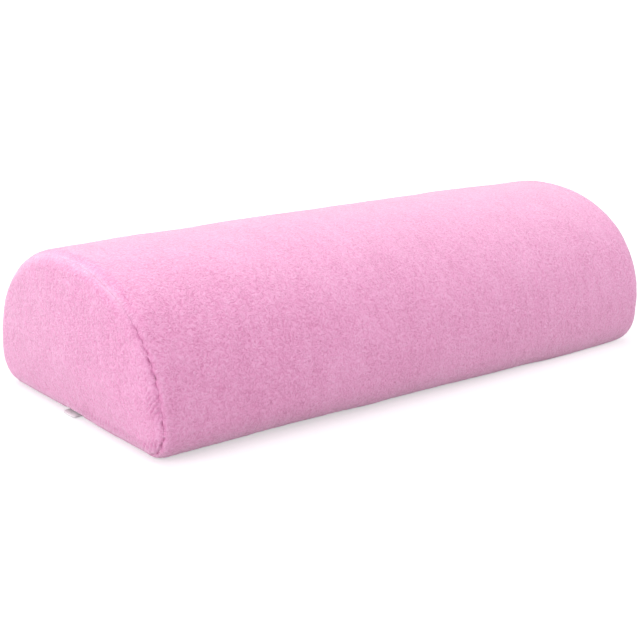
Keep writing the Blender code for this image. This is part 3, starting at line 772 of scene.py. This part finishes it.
def endPanel(name, end, node):
    # The D-shaped cloth of one end, from its seam to its middle
    spots, run = closedOutline(fineness["panelAround"])
    last = form["seam"] - seam["gap"] / 2
    flat = leanAngle(spots[:, 3])
    rows, distances = [], []
    for share in np.linspace(0, 1, fineness["panelBend"]):
        rows.append(endPlace(spots, end, last + (flat - last) * share))
        distances.append(form["endRound"] * last * share)
    bendLength = distances[-1]
    rimTo, centreTo = fineness["rimTo"], fineness["centreTo"]
    rim = np.linspace(1, rimTo, fineness["panelRim"])[1:]
    for share in np.r_[rim, np.linspace(rimTo, centreTo, fineness["panelMiddle"])[1:]]:
        rows.append(endFace(spots, end, share))
        distances.append(bendLength + (1 - share) * form["endReach"])
    grid = np.array(rows)
    distance = np.array(distances)[:, None] * np.ones(len(run))
    normals = gridNormals(settle(grid), closed=True)
    if normals[len(rows) // 2, 0, 0] * end < 0:
        normals = -normals
    height, pinch, paintedHighlight = seamRelief(distance, np.ones((len(rows), 1)) * run, grid[..., 2])
    folds, shade = puckerRelief(grid, distance)
    away = -np.array(distances) if end < 0 else otherSeam + np.array(distances)
    order = np.argsort(away)
    swell = swellAt(away[order], run)[np.argsort(order)]
    shaped = settle(grid) + normals * (height + folds + swell)[..., None]
    shaped = roughen(shaped, normals)
    shaped[..., 2] = np.maximum(shaped[..., 2], form["lowest"])
    mesh = shellMesh(name, shaped, normals, closed=True)
    # painted shade in the seam and in the puckers' troughs
    pointValues(mesh, "pinch", np.clip(pinch + pucker["paintedShade"] * shade, 0, 1))
    # painted highlight on the seam's ridge and lips
    pointValues(mesh, "paintedHighlight", paintedHighlight)
    obj = addPiece(name, mesh, terryEnd)
    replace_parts(obj, node)


coverBody()
endPanel("terry_end_left", -1, "end_panel_left")
endPanel("terry_end_right", 1, "end_panel_right")

print("stage: zip")
wire = {
    "radius": 0.27 * mm,
    "sides": 8,
    "headSwell": 1.15,       # the wire is pressed wider at its heads
    "bendSteps": 5,
    "reach": 2.55 * mm,      # from the head to the outer turn
    "pitch": 1.5 * mm,
    "headZone": 1 * mm,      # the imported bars' heads lie this near the zip's middle
}
thread = {
    "length": 2.7 * mm,
    "pitch": 3.3 * mm,
    "radius": 0.24 * mm,
    "sides": 7,
    "sunk": 0.5 * mm,
    "halfRun": 133 * mm,
    "lean": 0.1 * mm,        # no stitch lies quite straight
    "along": (-0.5, -0.42, -0.2, 0.0, 0.2, 0.42, 0.5),  # points of a stitch, as shares of it
    "dip": (1.6, 0.3, -0.1, -0.2, -0.1, 0.3, 1.6),      # their depth, in radii
    "thick": (0.7, 1.0, 1.05, 1.1, 1.05, 1.0, 0.7),
}
tape = {"cell": 1.5 * mm, "wave": 0.12 * mm, "waveSize": 9 * mm}
metal = {
    "bevel": 0.13 * mm,
    "sharp": math.radians(28),  # edges sharper than this are rounded
    "flat": math.radians(2),
    "tabReach": 1.6 * mm,    # the tab's tip stands out this much further
    "tabFrom": 12 * mm,      # which sets in this far from its eye's end
    "tabFade": 6 * mm,
}


def tube(points, radii, sides, steady):
    # Vertices and faces of a round thread along the points, none of whose runs follows steady
    points = np.array(points)
    along = np.gradient(points, axis=0)
    along /= np.linalg.norm(along, axis=1)[:, None]
    first = np.cross(along, steady)
    first /= np.linalg.norm(first, axis=1)[:, None]
    second = np.cross(along, first)
    turn = np.arange(sides) * math.tau / sides
    around = np.cos(turn)[None, :, None] * first[:, None]
    around = around + np.sin(turn)[None, :, None] * second[:, None]
    verts = points[:, None] + np.array(radii)[:, None, None] * around
    rings = len(points)
    faces = gridFaces(rings, sides, True)
    faces += [tuple(reversed(range(sides))), tuple(range((rings - 1) * sides, rings * sides))]
    return verts.reshape(-1, 3), faces


def joined(name, parts):
    verts, faces, count = [], [], 0
    for points, own in parts:
        verts += points.tolist()
        faces += [tuple(i + count for i in face) for face in own]
        count += len(points)
    mesh = bpy.data.meshes.new(name)
    mesh.from_pydata(verts, [], faces)
    faceOutward(mesh)
    smoothBelow(mesh, 60)
    return mesh


def coilTurns(node, side):
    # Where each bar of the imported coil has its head: x in its middle, and y
    heads, unit = {}, 0.01 * mm
    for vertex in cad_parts[node].data.vertices:
        if side * (vertex.co.y - hem["y"]) < wire["headZone"]:
            heads[round(vertex.co.x / unit)] = vertex.co.y
    spots = sorted(heads.items())
    return [((a + b) * unit / 2, y) for (a, y), (b, _) in zip(spots[::2], spots[1::2])]


def wireCoil(name, node, side):
    # One nylon wire wound flat: under, round the head, back over and on to the next turn
    low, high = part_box(node)
    r, steps = wire["radius"], wire["bendSteps"]
    bend = (high.z - low.z) / 2 - r
    middle = (high.z + low.z) / 2
    turns = coilTurns(node, side)
    after = (turns[-1][0] + wire["pitch"], turns[-1][1])
    points, radii = [], []

    def lay(x, y, z, radius=r):
        points.append((x, y, z))
        radii.append(radius)

    for (x, head), (nextX, nextHead) in zip(turns, turns[1:] + [after]):
        inner = head + side * (r + bend)
        outer = head + side * (wire["reach"] - r - bend)
        nextOuter = nextHead + side * (wire["reach"] - r - bend)
        lay(x, outer, middle - bend)
        lay(x, inner, middle - bend)
        for i in range(1, steps):
            a = math.pi * (i / steps - 0.5)
            lay(x, inner - side * bend * math.cos(a), middle + bend * math.sin(a),
                r * wire["headSwell"])
        lay(x, inner, middle + bend)
        lay(nextX, nextOuter, middle + bend)
        for i in range(1, steps):
            a = math.pi * (0.5 - i / steps)
            lay(nextX, nextOuter + side * bend * math.cos(a), middle + bend * math.sin(a))
    # The last turn ends over its head, without the way on to a next one
    mesh = joined(name, [tube(points[:-steps], radii[:-steps], wire["sides"], (1.0, 0.0, 0.0))])
    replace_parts(addPiece(name, mesh, coilNylon), node)


def hemStitches():
    # Two rows of lockstitch, one along each hem, sunk into the channel that they draw
    shares = np.array(thread["along"])
    depth = thread["sunk"] + thread["radius"] * np.array(thread["dip"])
    radii = thread["radius"] * np.array(thread["thick"])
    parts = []
    for side in (-1, 1):
        y = hem["y"] + side * stitchRow
        for i in range(int(2 * thread["halfRun"] / thread["pitch"])):
            x = -thread["halfRun"] + (i + 0.5) * thread["pitch"]
            lean = thread["lean"] * math.sin(i * scatter[0])
            points = np.stack([x + shares * thread["length"], y + lean * shares * 4, depth], -1)
            parts.append(tube(points, radii, thread["sides"], (0.0, 1.0, 0.0)))
    addPiece("hem_stitches", joined("hem_stitches", parts), pinkThread)


def weldedCopy(node):
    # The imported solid's mesh, with the points that lie on one another joined
    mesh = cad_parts[node].data.copy()
    work = bmesh.new()
    work.from_mesh(mesh)
    bmesh.ops.remove_doubles(work, verts=work.verts, dist=weld)
    return mesh, work


def wovenTape(name, node):
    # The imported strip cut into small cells, which the stitches on both its edges make wave
    low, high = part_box(node)
    mesh, work = weldedCopy(node)
    for axis in (0, 1):
        for at in np.arange(low[axis] + tape["cell"], high[axis], tape["cell"]):
            spot, facing = [0.0, 0.0, 0.0], [0.0, 0.0, 0.0]
            spot[axis], facing[axis] = at, 1.0
            everything = work.verts[:] + work.edges[:] + work.faces[:]
            bmesh.ops.bisect_plane(work, geom=everything, dist=weld / 2, plane_co=spot,
                                   plane_no=facing)
    for vertex in work.verts:
        vertex.co.z += tape["wave"] * noise.noise(vertex.co / tape["waveSize"])
    work.to_mesh(mesh)
    work.free()
    smoothBelow(mesh, 40)
    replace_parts(addPiece(name, mesh, zipTape), node)


def castMetal(name, node, body):
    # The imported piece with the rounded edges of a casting
    mesh, work = weldedCopy(node)
    bmesh.ops.dissolve_limit(work, angle_limit=metal["flat"], verts=work.verts, edges=work.edges)
    edges = [e for e in work.edges if e.calc_face_angle(0.0) > metal["sharp"]]
    bmesh.ops.bevel(work, geom=edges, offset=metal["bevel"], offset_type="OFFSET", segments=3,
                    profile=0.5, affect="EDGES", clamp_overlap=True)
    if node == "zip_pull":
        tip = max(v.co.x for v in work.verts) - metal["tabFrom"]
        for vertex in work.verts:
            out = float(smoothStep(0, metal["tabFade"], tip - vertex.co.x))
            vertex.co.x -= metal["tabReach"] * out
    work.to_mesh(mesh)
    work.free()
    smoothBelow(mesh, 50)
    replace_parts(addPiece(name, mesh, whiteLacquer, body), node)


for label, side in (("front", -1), ("rear", 1)):
    wovenTape("woven_tape_" + label, "zip_tape_" + label)
    wireCoil("wire_coil_" + label, "zip_coil_" + label, side)
    castMetal("cast_stop_" + label, "zip_top_stop_" + label, "cushion")
castMetal("cast_bottom_stop", "zip_bottom_stop", "cushion")
castMetal("cast_slider", "zip_slider", "slider")
castMetal("cast_pull_tab", "zip_pull", "pull")
hemStitches()
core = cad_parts["foam_core"].data
core.materials.clear()
core.materials.append(foamPores)

print("stage: camera and studio")
view = {
    "azimuth": -0.73986,     # in radians, from the front to the right
    "elevation": 0.27965,
    "roll": 0.056127,
    "distance": 0.66966,
    "frame": 640,            # in pixels, like the two below
    "focus": 1441.7,
    "centre": (344.91, 287.22),
    "target": Vector((0, 0, 0.0348)),
}


def addCamera():
    data = bpy.data.cameras.new("camera")
    cam = bpy.data.objects.new("camera", data)
    bpy.context.scene.collection.objects.link(cam)
    az, el, roll = view["azimuth"], view["elevation"], view["roll"]
    back = Vector((math.sin(az) * math.cos(el), -math.cos(az) * math.cos(el), math.sin(el)))
    right = (-back).cross(Vector((0, 0, 1))).normalized()
    up = right.cross(-back)
    camX = math.cos(roll) * right + math.sin(roll) * up
    camY = -math.sin(roll) * right + math.cos(roll) * up
    turn = Matrix((camX, camY, back)).transposed().to_4x4()
    cam.matrix_world = Matrix.Translation(view["target"] + back * view["distance"]) @ turn
    data.sensor_width = 36  # mm
    pixels = view["frame"]
    data.lens = view["focus"] / pixels * data.sensor_width
    data.shift_x = (pixels / 2 - view["centre"][0]) / pixels
    data.shift_y = (view["centre"][1] - pixels / 2) / pixels
    data.clip_start = 0.02
    data.clip_end = 50
    bpy.context.scene.camera = cam


studio = {
    "worldLight": 0.42,
    "floorShade": (0.66, 0.66, 0.67, 1),
    "floorGlow": 0.52,       # added to the floor for the camera, so that it reads as white
    "farGlow": 0.85,         # and this further off, where the lamps don't reach
    "farFrom": 0.3,
    "farTo": 1.0,
    "floorHalf": 6.0,
    "lampAim": (0, 0, 0.03),
}
lamps = {
    "topLight": {"at": (0.0, 0.15, 1.3), "size": 1.3, "power": 5.8},
    "backLight": {"at": (-0.3, 0.9, 1.1), "size": 1.0, "power": 10.5},
    "leftLight": {"at": (-1.3, -0.1, 0.55), "size": 0.9, "power": 8.3},
    "rightLight": {"at": (1.1, -0.8, 0.7), "size": 0.9, "power": 8.3},
}


def addLamp(name, at, size, power):
    data = bpy.data.lights.new(name, "AREA")
    data.shape = "SQUARE"
    data.size = size
    data.energy = power
    lamp = bpy.data.objects.new(name, data)
    bpy.context.scene.collection.objects.link(lamp)
    lamp.location = at
    aim = Vector(studio["lampAim"]) - Vector(at)
    lamp.rotation_euler = aim.to_track_quat("-Z", "Y").to_euler()


def seenDirectly(tree):
    # 1 where the camera looks, also in a mirror or through glass, and 0 for other light
    ray = add(tree, "ShaderNodeLightPath")
    seen = calc(tree, "MAXIMUM", ray.outputs["Is Camera Ray"], ray.outputs["Is Glossy Ray"])
    return calc(tree, "MAXIMUM", seen, ray.outputs["Is Transmission Ray"])


def addFloor():
    mesh = bpy.data.meshes.new("floor")
    half = studio["floorHalf"]
    corners = [(-half, -half, 0), (half, -half, 0), (half, half, 0), (-half, half, 0)]
    mesh.from_pydata(corners, [], [(0, 1, 2, 3)])
    floor = bpy.data.objects.new("floor", mesh)
    bpy.context.scene.collection.objects.link(floor)
    made, tree, shader = nodeSet("paleFloor")
    shader.inputs["Base Color"].default_value = studio["floorShade"]
    shader.inputs["Roughness"].default_value = 0.9
    shader.inputs["Specular IOR Level"].default_value = 0.1
    where = add(tree, "ShaderNodeTexCoord").outputs["Object"]
    away = add(tree, "ShaderNodeVectorMath", operation="LENGTH")
    tree.links.new(where, away.inputs[0])
    far = add(tree, "ShaderNodeMapRange", **{
        "interpolation_type": "SMOOTHSTEP", "From Min": studio["farFrom"],
        "From Max": studio["farTo"], "To Min": studio["floorGlow"], "To Max": studio["farGlow"]})
    tree.links.new(away.outputs["Value"], far.inputs["Value"])
    glow = add(tree, "ShaderNodeEmission")
    tree.links.new(far.outputs["Result"], glow.inputs["Strength"])
    both = add(tree, "ShaderNodeAddShader")
    mix = add(tree, "ShaderNodeMixShader")
    tree.links.new(shader.outputs[0], both.inputs[0])
    tree.links.new(glow.outputs[0], both.inputs[1])
    tree.links.new(seenDirectly(tree), mix.inputs[0])
    tree.links.new(shader.outputs[0], mix.inputs[1])
    tree.links.new(both.outputs[0], mix.inputs[2])
    tree.links.new(mix.outputs[0], tree.nodes["Material Output"].inputs["Surface"])
    mesh.materials.append(made)


def addWorld():
    world = bpy.data.worlds.new("studio")
    bpy.context.scene.world = world
    world.use_nodes = True
    tree = world.node_tree
    light = tree.nodes["Background"]
    light.inputs["Color"].default_value = (1, 1, 1, 1)
    light.inputs["Strength"].default_value = studio["worldLight"]
    white = add(tree, "ShaderNodeBackground", Color=(1, 1, 1, 1), Strength=1.0)
    mix = add(tree, "ShaderNodeMixShader")
    tree.links.new(seenDirectly(tree), mix.inputs[0])
    tree.links.new(light.outputs[0], mix.inputs[1])
    tree.links.new(white.outputs[0], mix.inputs[2])
    tree.links.new(mix.outputs[0], tree.nodes["World Output"].inputs["Surface"])


addCamera()
addFloor()
addWorld()
for name, settings in lamps.items():
    addLamp(name, **settings)
bpy.context.scene.view_settings.view_transform = "Standard"
